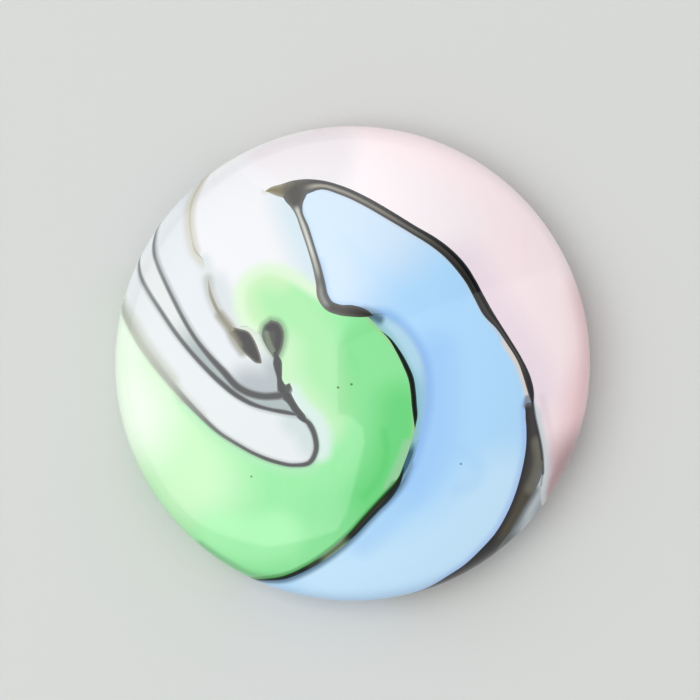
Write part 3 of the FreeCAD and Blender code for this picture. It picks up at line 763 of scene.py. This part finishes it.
field("smoky_band_glass", "smoky_band", [
    (band_inner, band_outer, 400),
], -TRAIL_RISE, 20, depth=TRAIL_DEPTH, washes=[
    ("olive", 0.05, 0.5, (72, 66, 48), 0.9,
     drawn([(0.73, -0.52), (0.69, -0.60), (0.645, -0.68), (0.60, -0.74)])),
    ("lobe", 0.08, 0.6, (104, 103, 90), 0.9,
     drawn([(0.768, -0.33), (0.779, -0.39), (0.768, -0.46), (0.745, -0.52)])),
    ("pale", 0.0, 0.4, (104, 108, 106), 0.85,
     drawn([(0.785, -0.46), (0.765, -0.54), (0.72, -0.62), (0.68, -0.69)])),
    ("inner", 0.03, 0.45, (30, 28, 32), 0.9, band_inner),
    ("head", 0.0, 0.42, (104, 108, 118), 0.9, lay([(0.735, -0.158), (0.72, -0.16)])),
    ("tail", 0.3, 1.6, (14, 14, 16), 0.95,
     drawn([(0.56, -0.78), (0.45, -0.88), (0.35, -0.95), (0.2, -1.2)])),
    ("thread", 0.04, 0.14, (30, 38, 48), 0.9, stretch(band_outer, (0.75, -0.16), (0.793, -0.40))),
], glass=dict(name="smoky_brown", colour=(57, 53, 53),
              pale=(80, 76, 66), deep=(34, 32, 34), streaks=0.3, haze=0.04))
field("wedge_glass", "smoky_wedge", [
    (stretch(band_outer, (0.793, -0.40), (0.643, -1.147)), wedge_seam, 300),
], LAP, 26, washes=[
    ("pale", 0.0, 0.85, (190, 197, 203), 0.85,
     drawn([(0.785, -0.48), (0.772, -0.56), (0.745, -0.62), (0.715, -0.70), (0.72, -0.8)])),
    ("low", 0.3, 1.4, (58, 66, 66), 0.95, drawn([(0.64, -0.76), (0.57, -0.84), (0.55, -0.95)])),
    ("band", 0.0, 0.45, (92, 97, 96), 0.85, stretch(band_outer, (0.762, -0.53), (0.643, -1.147))),
    THREAD_END,
    ("thread", 0.04, 0.14, (52, 62, 72), 0.85, thread_foot),
], glass=dict(name="smoky_white", colour=(142, 154, 162),
              pale=(170, 180, 186), deep=(124, 136, 142), streaks=0.3, haze=0.05))

# --- Trails ------------------------------------------------------------------------------
# Hair-thin rods of black, brown and ivory glass, laid on hot, melted flush, then dragged into the
# swirl with a pick. Each is a little lens in section: dark down both sides, paler along the middle.
# On the crest and the fork that paler middle is partly the rod's own paler glass and partly a
# painted highlight, where the screen's reflection runs along them.

TRAIL_POINTS = 520           # points along a trail
LONG_TRAIL = 900             # the same for each of the two longest
TRAIL_COLUMNS = 15           # points across a trail
LEAST_WIDTH = 0.012 * MM     # how thin a trail's tip is drawn out
FULL_HALF = 0.1 * MM         # a trail whose half width is less than this is sunk less deep
RIM_BAND = 0.32              # share of a trail's width that each soft edge takes
THIN_BAND = 0.4              # the same where the rod was drawn out thin
THIN_RIM = 0.9               # and how strong its edges are there
TRAIL_HAZE = 0.05


def trail(name, node, line, glass, along=TRAIL_POINTS, proud=TRAIL_RISE):
    """A trail along a line with a width: its skin arches a hair above the field, and its underside
    is half an ellipse sunk in the field. Its marks say how far along it a point lies and how far
    over to the left, both from 0 to 1."""
    line = smooth(line, along)
    course = np.gradient(line[:, :2], axis=0)
    course /= np.hypot(*course.T)[:, None]
    side = np.column_stack([-course[:, 1], course[:, 0]])
    share = np.sin(np.linspace(-math.pi / 2, math.pi / 2, TRAIL_COLUMNS))[None, :]
    half = np.maximum(line[:, 2], LEAST_WIDTH)[:, None] / 2
    flat = line[:, None, :2] + side[:, None, :] * (share * half)[..., None]
    arch = 1 - share**2
    rise = -proud * arch * np.ones_like(half)
    sink = TRAIL_DEPTH * np.sqrt(arch) * np.minimum(1.0, half / FULL_HALF)
    travelled = np.linspace(0, 1, along)[:, None] * np.ones_like(share)
    marks = {"along": travelled, "side": (1 + share) / 2 * np.ones_like(half)}
    seal(fused_piece(name, skin(flat, rise), skin(flat, sink), marks), node, glass)


def ramp_of(tree, output, stops):
    """A smooth value along an output, from pairs of position and value."""
    shown = tree.nodes.new("ShaderNodeValToRGB")
    ramp = shown.color_ramp
    ramp.interpolation = "EASE"
    ramp.elements.remove(ramp.elements[0])
    ramp.elements[0].position = stops[0][0]
    ramp.elements[0].color = (stops[0][1],) * 3 + (1.0,)
    for position, value in stops[1:]:
        ramp.elements.new(position).color = (value,) * 3 + (1.0,)
    tree.links.new(output, shown.inputs["Fac"])
    return shown.outputs["Color"]


def trail_glass(name, dark, core, core_and_highlight_place, core_and_highlight_shown, thin, thin_shown, rims, rim_amount,
                thin_rim=None, shine=0.5):
    """Dark rod glass. A paler core lies under part of its width, from, through and to the places
    given; where it shows strongly on the crest and the fork it is partly painted highlight. Each
    edge softens to its own colour, left then right. Where the rod was drawn out thin all of it
    pales. Pairs of position along the trail and strength say where core and thinning show."""
    material, tree, shader = new_material(name)
    side = read_mark(tree, "side")
    along = read_mark(tree, "along")
    near, middle, far = core_and_highlight_place
    in_core_and_highlight = ramp_of(tree, side, [(near, 0.0), (middle, 1.0), (far, 0.0)])
    core_and_highlight_seen = times(tree, in_core_and_highlight, ramp_of(tree, along, core_and_highlight_shown))
    colour = mixed(tree, core_and_highlight_seen, tone(*dark), tone(*core))
    at_left = ramp_of(tree, side, [(1 - RIM_BAND, 0.0), (1.0, rim_amount)])
    at_right = ramp_of(tree, side, [(0.0, rim_amount), (RIM_BAND, 0.0)])
    colour = mixed(tree, at_left, colour, tone(*rims[0]))
    colour = mixed(tree, at_right, colour, tone(*rims[1]))
    paled = tone(*thin)
    if thin_rim is not None:
        for stops in ([(1 - THIN_BAND, 0.0), (1.0, THIN_RIM)], [(0.0, THIN_RIM), (THIN_BAND, 0.0)]):
            paled = mixed(tree, ramp_of(tree, side, stops), paled, tone(*thin_rim))
    colour = mixed(tree, ramp_of(tree, along, thin_shown), colour, paled)
    streaked = new_node(tree, "Group", {
        "Colour": colour, "Pale": tone(96, 98, 96), "Deep": tone(12, 14, 16), "Amount": 0.2,
    }, node_tree=ROD_STREAKS)
    polish(tree, shader, streaked["Colour"], TRAIL_HAZE)
    shader.inputs["Specular IOR Level"].default_value = shine
    return material


BLACK = (18, 18, 24)
# the pale core, strongest along the upper crest, is partly paler glass and partly a painted highlight of
# the screen
trail("crest_rod", "crest_trail", crest_line, trail_glass(
    "crest_black", BLACK, (172, 168, 154), (0.1, 0.42, 0.74),
    [(0.095, 0.0), (0.14, 0.8), (0.3, 0.5), (0.42, 0.3), (0.52, 0.14), (0.62, 0.08), (0.72, 0.12),
     (0.85, 0.15), (0.95, 0.0)],
    (120, 112, 76), [(0.0, 1.0), (0.035, 0.8), (0.06, 0.35), (0.09, 0.15), (0.14, 0.0)],
    ((70, 74, 76), (90, 92, 92)), 0.5, thin_rim=(160, 154, 128)),
      along=LONG_TRAIL, proud=TRAIL_RISE / 2)
# the pale core along the upper fork is partly paler glass and partly a painted highlight of the screen
trail("fork_rod", "fork_trail", fork_line, trail_glass(
    "fork_black", (50, 54, 54), (214, 217, 208), (0.03, 0.42, 0.84),
    [(0.115, 0.0), (0.165, 0.75), (0.4, 0.9), (0.5, 0.6), (0.6, 0.15), (0.66, 0.3), (0.73, 0.3),
     (0.78, 0.0)],
    (44, 38, 26),
    [(0.0, 1.0), (0.09, 0.9), (0.16, 0.0), (0.72, 0.0), (0.78, 0.9), (0.88, 0.9), (1.0, 0.6)],
    ((96, 104, 112), (140, 132, 118)), 0.55, thin_rim=(70, 72, 70)))
trail("green_edge_rod", "green_edge_trail", drawn([
    (0.115, 0.137, 0), (0.15, 0.105, 0.1), (0.185, 0.055, 0.2), (0.215, 0.0, 0.265),
    (0.24, -0.06, 0.29), (0.25, -0.12, 0.28), (0.254, -0.17, 0.275), (0.258, -0.21, 0.25),
    (0.257, -0.27, 0)]), trail_glass(
    "edge_black", (8, 16, 16), (20, 40, 34), (0.2, 0.5, 0.8), [(0.0, 0.3), (1.0, 0.3)],
    (30, 70, 50), [(0.0, 0.6), (0.2, 0.0), (0.85, 0.0), (1.0, 0.6)],
    ((60, 100, 100), (70, 110, 76)), 0.5, shine=0.18))
trail("green_foot_rod", "green_foot_trail", foot_line, trail_glass(
    "foot_black_green", (10, 26, 16), (66, 60, 44), (0.25, 0.5, 0.75),
    [(0.1, 0.0), (0.16, 0.6), (0.28, 0.5), (0.33, 0.0)],
    (104, 122, 92), [(0.3, 0.0), (0.35, 0.85), (0.41, 0.8), (0.46, 0.15), (0.52, 0.0)],
    ((20, 56, 78), (36, 116, 44)), 0.9, thin_rim=(140, 172, 140), shine=0.3))
trail("loop_rod", "loop_trail", loop_line, trail_glass(
    "loop_grey", (26, 34, 34), (90, 96, 92), (0.15, 0.5, 0.85), [(0.0, 0.4), (1.0, 0.2)],
    (174, 180, 168), [(0.0, 1.0), (0.36, 1.0), (0.47, 0.8), (0.55, 0.4), (0.64, 0.16), (0.78, 0.0)],
    ((150, 158, 156), (130, 158, 140)), 0.6, thin_rim=(184, 189, 176)), along=LONG_TRAIL)
TWIN_GREY = trail_glass(
    "twin_grey", (38, 42, 44), (84, 88, 88), (0.15, 0.5, 0.85), [(0.0, 0.5), (1.0, 0.2)],
    (146, 150, 150), [(0.0, 0.75), (0.35, 0.6), (0.5, 0.3), (0.65, 0.12), (0.8, 0.0)],
    ((160, 164, 166), (160, 164, 166)), 0.6, thin_rim=(196, 200, 202))
trail("lower_twin_rod", "lower_twin_trail", lower_twin, TWIN_GREY)
trail("upper_twin_rod", "upper_twin_trail", upper_twin, TWIN_GREY)
trail("hook_rod", "hook_trail", hook_line, trail_glass(
    "hook_black", (22, 26, 28), (60, 60, 56), (0.2, 0.5, 0.8), [(0.0, 0.3), (1.0, 0.2)],
    BLACK, [(0.0, 0.0), (1.0, 0.0)], ((96, 112, 104), (100, 104, 104)), 0.5))
VEIL_BROWN = trail_glass(
    "veil_brown", (198, 196, 182), (186, 182, 166), (0.1, 0.6, 1.0), [(0.0, 0.7), (1.0, 0.5)],
    (140, 136, 120), [(0.0, 0.5), (0.35, 0.4), (0.5, 0.05), (0.85, 0.05), (1.0, 0.5)],
    ((214, 214, 206), (214, 214, 206)), 0.9)
trail("upper_veil_rod", "upper_veil_trail", upper_veil, VEIL_BROWN)
trail("lower_veil_rod", "lower_veil_trail", lower_veil, trail_glass(
    "smoke_brown", (150, 149, 136), (120, 118, 104), (0.1, 0.5, 0.9), [(0.0, 0.3), (1.0, 0.8)],
    (134, 132, 112), [(0.0, 0.0), (0.5, 0.1), (1.0, 0.9)],
    ((158, 158, 144), (158, 158, 144)), 0.7))

# --- Dark eye and teardrop ---------------------------------------------------------------
# Two dots of the same dark glass, touched on where the rake stopped. Both are thick and nearly
# black at the heart and thin out to a smoky green or brown at one side.

DOT_RINGS = 24
DOT_AROUND = 120             # points round each ring
DOT_GLASS = dict(pale=(90, 96, 84), deep=(16, 18, 20), streaks=0.2, haze=0.04)


def dot(name, node, outline, washes, glass):
    """A lens of glass inside a closed outline: rings shrink from the outline to its middle, the
    skin arches a hair above the field, and the underside bulges into it. The two are welded round
    the outline and at the middle."""
    closed = np.concatenate([lay(outline), lay(outline[:1])])
    ring = smooth(closed, DOT_AROUND + 1)
    middle = ring[:-1].mean(axis=0)
    share = np.sin(np.linspace(math.pi / 2, 0, DOT_RINGS))[None, :, None]
    flat = middle + (ring[:, None, :] - middle) * share
    arch = (1 - share[..., 0] ** 2) * np.ones(flat.shape[:2])
    top = skin(flat, -TRAIL_RISE * arch)
    under = skin(flat, TRAIL_DEPTH * np.sqrt(arch))
    piece = fused_piece(name, top, under, marks_of(flat, washes), walled=False)
    seal(piece, node, opal_glass(washes=washes, **glass))


dot("eye_dot", "dark_eye", EYE_OUTLINE, washes=[
    ("heart", 0.12, 0.4, (12, 16, 18), 0.97,
     drawn([(-0.343, 0.157), (-0.31, 0.15), (-0.3, 0.11), (-0.306, 0.055)])),
    ("thin", 0.04, 0.24, (112, 124, 104), 0.8, drawn([(-0.357, 0.125), (-0.347, 0.09), (-0.33, 0.052)])),
    ("rim", 0.0, 0.2, (98, 116, 98), 0.65, eye_edge),
], glass=dict(DOT_GLASS, name="eye_dark", colour=(50, 56, 50)))
TEARDROP_OUTLINE = [
    (-0.516, 0.154), (-0.474, 0.146), (-0.43, 0.131), (-0.406, 0.098), (-0.39, 0.06),
    (-0.379, 0.025), (-0.377, 0.002), (-0.393, 0.001), (-0.429, 0.026), (-0.462, 0.059),
    (-0.489, 0.098), (-0.511, 0.132),
]
dot("tear_dot", "dark_teardrop", TEARDROP_OUTLINE, washes=[
    ("heart", 0.1, 0.6, (14, 14, 14), 0.95, drawn([(-0.445, 0.115), (-0.42, 0.08), (-0.396, 0.025)])),
    ("thin", 0.0, 0.4, (120, 116, 96), 0.95, drawn([(-0.535, 0.16), (-0.505, 0.125), (-0.475, 0.075)])),
    ("rim", 0.0, 0.15, (130, 130, 116), 0.7, drawn(TEARDROP_OUTLINE + TEARDROP_OUTLINE[:1])),
], glass=dict(DOT_GLASS, name="tear_dark", colour=(40, 40, 34)))

# --- Table, light and camera -------------------------------------------------------------
# The disc lies on its flat back on a plain pale sheet. A large soft lamp stands on the left, and a
# lit paper screen hangs over the left half. The polished dome mirrors it, and its edge melts away
# round its corner.

SHEET_REACH = 0.6            # from the disc out to each side of the sheet
SHEET_GAP = 0.02 * MM        # between the sheet and the disc's back
SHEET_OUTLINE = [(-SHEET_REACH, -SHEET_REACH), (SHEET_REACH, -SHEET_REACH),
                 (SHEET_REACH, SHEET_REACH), (-SHEET_REACH, SHEET_REACH)]


def flat_sheet(name, outline, height, material):
    """A flat face with a given outline, which isn't part of the object."""
    mesh = bpy.data.meshes.new(name)
    mesh.from_pydata([(x, y, height) for x, y in outline], [], [tuple(range(len(outline)))])
    mesh.materials.append(material)
    sheet = bpy.data.objects.new(name, mesh)
    bpy.context.scene.collection.objects.link(sheet)
    return sheet


paper, tree, shader = new_material("pale_paper")
place = new_node(tree, "TexCoord")["Object"]
tooth = new_node(tree, "TexNoise", {"Vector": place, "Scale": 900.0})
press = new_node(tree, "Bump", {"Height": tooth["Fac"], "Strength": 0.15, "Distance": 0.1 * MM})
tree.links.new(press["Normal"], shader.inputs["Normal"])
shader.inputs["Base Color"].default_value = tone(206, 208, 206)
shader.inputs["Roughness"].default_value = 0.85
flat_sheet("floor", SHEET_OUTLINE, -SHEET_GAP, paper)

SCREEN_HEIGHT = 0.4          # above the sheet, in metres
CORNER_X, CORNER_Y = -0.082, 0.09
SCREEN_EDGE = [              # in screen heights, from the corner round
    (CORNER_X, CORNER_Y), (-0.083, -0.29), (-0.01, -0.30), (0.06, -0.37), (0.072, -0.47),
    (0.03, -0.70), (-0.05, -1.15), (-0.13, -1.42), (-0.5, -1.75), (-1.05, -2.24), (-2.63, -2.84),
    (-9.0, -5.0), (-9.0, 9.0), (9.0, 9.0), (9.0, 4.0),
]
TURN_FROM = -1.2             # where the turn round the corner is counted from, in radians
DARK_TURN, LIT_TURN = 0.58, 1.65       # the light comes up from one turn to the other
NEAR_REACH, FAR_REACH = 1.6, 7.0       # and falls off between these distances, in screen heights
NEAR_LIGHT, FAR_LIGHT = 2.6, 0.7       # from this strength to this
lit_screen, tree, shader = new_material("lit_screen")
place = new_node(tree, "TexCoord")["Object"]
from_corner = new_node(tree, "VectorMath", {
    0: place, 1: (-CORNER_X * SCREEN_HEIGHT, -CORNER_Y * SCREEN_HEIGHT, 0.0)}, operation="ADD")
axes = new_node(tree, "SeparateXYZ", {"Vector": from_corner["Vector"]})
angle = new_node(tree, "Math", {0: axes["Y"], 1: axes["X"]}, operation="ARCTAN2")
turn = new_node(tree, "Math", {
    0: angle["Value"], 1: 2 * math.pi + TURN_FROM, 2: TURN_FROM}, operation="WRAP")
melt = faded(tree, {"Value": turn["Value"], "From Min": DARK_TURN, "From Max": LIT_TURN})
away = new_node(tree, "VectorMath", {0: place}, operation="LENGTH")
level = faded(tree, {
    "Value": away["Value"], "From Min": NEAR_REACH * SCREEN_HEIGHT,
    "From Max": FAR_REACH * SCREEN_HEIGHT, "To Min": NEAR_LIGHT, "To Max": FAR_LIGHT})
tree.links.new(times(tree, melt, level), shader.inputs["Emission Strength"])
shader.inputs["Base Color"].default_value = (0.0, 0.0, 0.0, 1.0)
shader.inputs["Emission Color"].default_value = (1.0, 1.0, 1.0, 1.0)
screen_outline = [(x * SCREEN_HEIGHT, y * SCREEN_HEIGHT) for x, y in SCREEN_EDGE]
screen = flat_sheet("screen", screen_outline, SCREEN_HEIGHT, lit_screen)
screen.visible_camera = False
screen.visible_diffuse = False
screen.visible_shadow = False
screen.visible_transmission = False

LAMP_RADIANCE = 2.35         # how bright each part of its face looks
lamp = bpy.data.lights.new("soft_lamp", "AREA")
lamp.shape = "SQUARE"
lamp.size = 0.55
lamp.energy = LAMP_RADIANCE * math.pi * lamp.size**2
soft_lamp = bpy.data.objects.new("soft_lamp", lamp)
bpy.context.scene.collection.objects.link(soft_lamp)
soft_lamp.location = (-0.293, 0.041, 0.634)
soft_lamp.rotation_euler = (-soft_lamp.location).to_track_quat("-Z", "Y").to_euler()
soft_lamp.visible_glossy = False

world = bpy.data.worlds.new("studio")
bpy.context.scene.world = world
world.use_nodes = True
background = world.node_tree.nodes["Background"]
background.inputs["Color"].default_value = (1.0, 1.0, 1.0, 1.0)
background.inputs["Strength"].default_value = 0.7

lens = bpy.data.cameras.new("camera")
lens.sensor_width = 36.0
lens.lens = 250.0
VIEW_WIDTH = 2.9455 * DISC_RADIUS
VIEW_X, VIEW_Y = -0.011, 0.0564        # the middle of the view, in shares of the disc's radius
camera = bpy.data.objects.new("camera", lens)
bpy.context.scene.collection.objects.link(camera)
camera.location = (VIEW_X * DISC_RADIUS, VIEW_Y * DISC_RADIUS,
                   VIEW_WIDTH * lens.lens / lens.sensor_width + RIM_ROUND)
bpy.context.scene.camera = camera
bpy.context.scene.view_settings.view_transform = "Standard"
